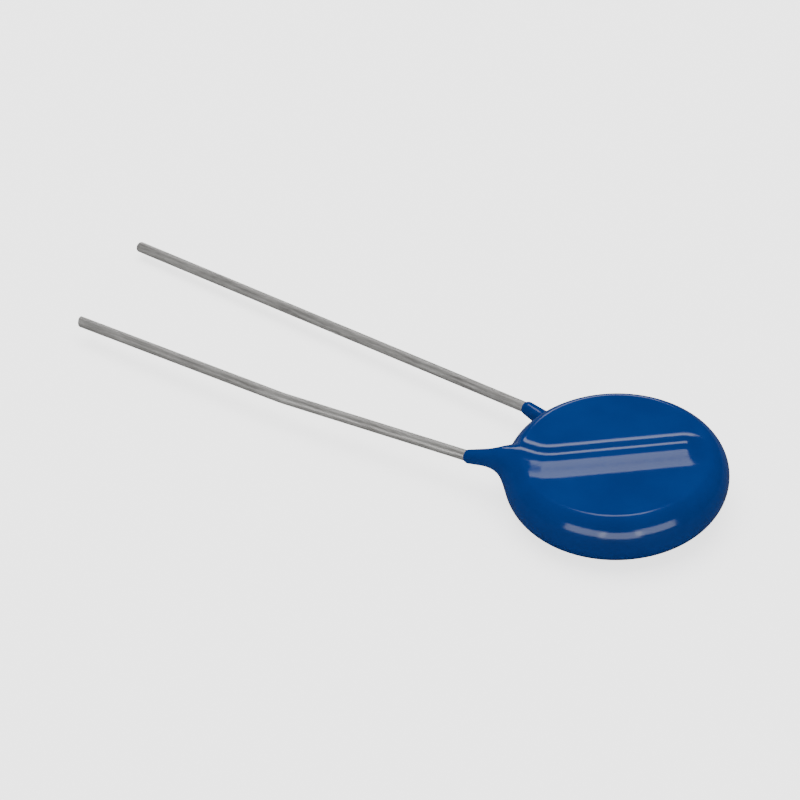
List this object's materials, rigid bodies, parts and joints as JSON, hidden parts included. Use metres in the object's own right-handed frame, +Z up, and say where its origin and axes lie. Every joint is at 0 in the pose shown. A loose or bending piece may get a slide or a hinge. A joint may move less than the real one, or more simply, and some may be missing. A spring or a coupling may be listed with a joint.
{
  "type": "varistor",
  "caption": "Leaded disc varistor: a zinc oxide disc between silver layers, dipped in glossy blue epoxy, with a long tinned wire lead soldered to each face.",
  "frame": {"origin": "centre of the bounding box in plan, on the table the part lies on", "axes": "+Z up from the table, -X along the wire leads, -Y towards the lead soldered to the upper face"},
  "size_m": [0.0536, 0.016, 0.0053],
  "materials": {
    "coating": "glossy dipped epoxy",
    "ceramic": "sintered grey-black zinc oxide",
    "silver": "fired silver, matt",
    "solder": "reflowed solder, satin",
    "wire": "drawn tinned copper"
  },
  "bodies": {
    "root": {"epoxy_coating": "coating", "ceramic_disc": "ceramic", "upper_silver": "silver", "lower_silver": "silver", "upper_solder": "solder", "lower_solder": "solder", "upper_lead": "wire", "lower_lead": "wire"}
  },
  "joints": []
}
